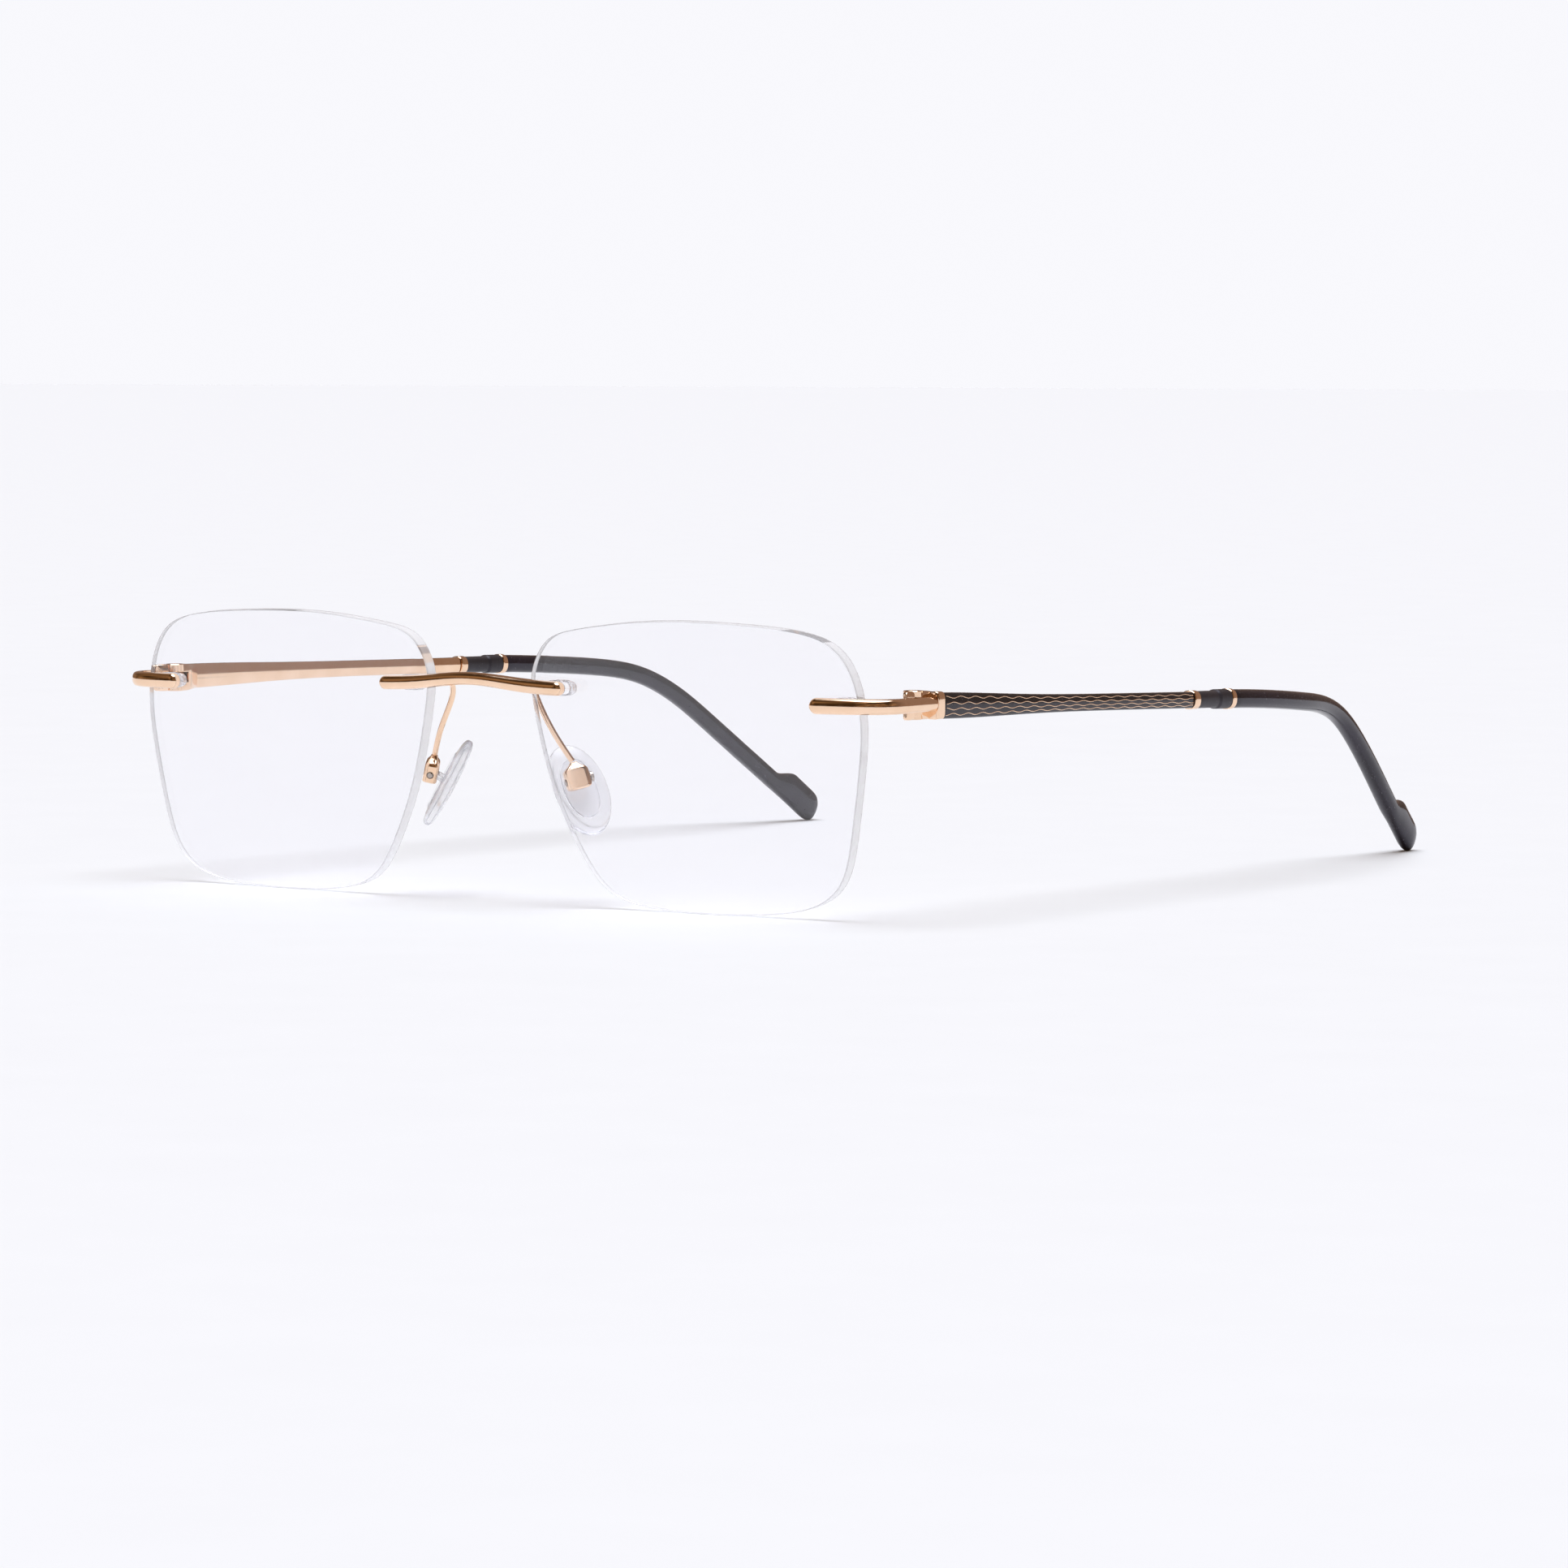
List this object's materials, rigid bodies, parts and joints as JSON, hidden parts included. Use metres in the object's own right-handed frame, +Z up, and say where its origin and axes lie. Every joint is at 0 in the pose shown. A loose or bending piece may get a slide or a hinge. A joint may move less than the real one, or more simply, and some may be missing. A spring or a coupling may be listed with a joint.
{
  "type": "rimless eyeglasses",
  "caption": "Rimless eyeglasses with clear rounded-square lenses, a slim arched metal bridge, adjustable nose pads, and folding temples with black outer strips and curved tips.",
  "frame": {"origin": "centre of the open glasses' outer box, at the height of the surface they stand on", "axes": "+X toward the wearer's left, -Y out of the front of the lenses, +Z up; the temples run back along +Y"},
  "size_m": [0.134, 0.1612, 0.0395],
  "materials": {
    "rose_gold": "polished rose gold plating",
    "lens": "clear, coated, with polished edges",
    "clear_plastic": "clear",
    "silicone": "clear soft silicone",
    "black_lacquer": "black lacquer with fine gold wave lines",
    "matte_black": "satin",
    "gloss_black": "gloss",
    "screw_steel": "bright",
    "core_steel": "drawn wire"
  },
  "bodies": {
    "front": {"bridge": "rose_gold", "lens_left": "lens", "lens_right": "lens", "bridge_sleeve_left": "clear_plastic", "bridge_sleeve_right": "clear_plastic", "end_sleeve_left": "clear_plastic", "end_sleeve_right": "clear_plastic", "end_piece_left": "rose_gold", "end_piece_right": "rose_gold", "hinge_leaf_left": "rose_gold", "hinge_leaf_right": "rose_gold", "hinge_screw_left": "screw_steel", "hinge_screw_right": "screw_steel", "pad_arm_left": "rose_gold", "pad_arm_right": "rose_gold", "pad_box_left": "rose_gold", "pad_box_right": "rose_gold", "pad_screw_left": "screw_steel", "pad_screw_right": "screw_steel"},
    "temple_left": {"temple_left": "rose_gold", "panel_left": "black_lacquer", "ferrule_left": "rose_gold", "core_wire_left": "core_steel", "sleeve_left": "matte_black", "ring_left": "rose_gold", "tip_left": "gloss_black"},
    "temple_right": {"temple_right": "rose_gold", "panel_right": "black_lacquer", "ferrule_right": "rose_gold", "core_wire_right": "core_steel", "sleeve_right": "matte_black", "ring_right": "rose_gold", "tip_right": "gloss_black"},
    "pad_left": {"pad_core_left": "clear_plastic", "nose_pad_left": "silicone"},
    "pad_right": {"pad_core_right": "clear_plastic", "nose_pad_right": "silicone"}
  },
  "joints": [
    {"name": "temple_fold_left", "type": "hinge", "parent": "front", "child": "temple_left", "pos_m": [0.064, -0.06599, 0.0289], "axis": [0, 0, 1], "range_deg": [0, 89]},
    {"name": "temple_fold_right", "type": "hinge", "parent": "front", "child": "temple_right", "pos_m": [-0.064, -0.06599, 0.0289], "axis": [0, 0, -1], "range_deg": [0, 85]},
    {"name": "pad_rock_left", "type": "hinge", "parent": "front", "child": "pad_left", "pos_m": [0.0131, -0.07169, 0.01715], "axis": [0.5295, 0.8193, 0.2198], "range_deg": [-7, 7]},
    {"name": "pad_rock_right", "type": "hinge", "parent": "front", "child": "pad_right", "pos_m": [-0.0131, -0.07169, 0.01715], "axis": [0.5295, -0.8193, -0.2198], "range_deg": [-7, 7]}
  ]
}
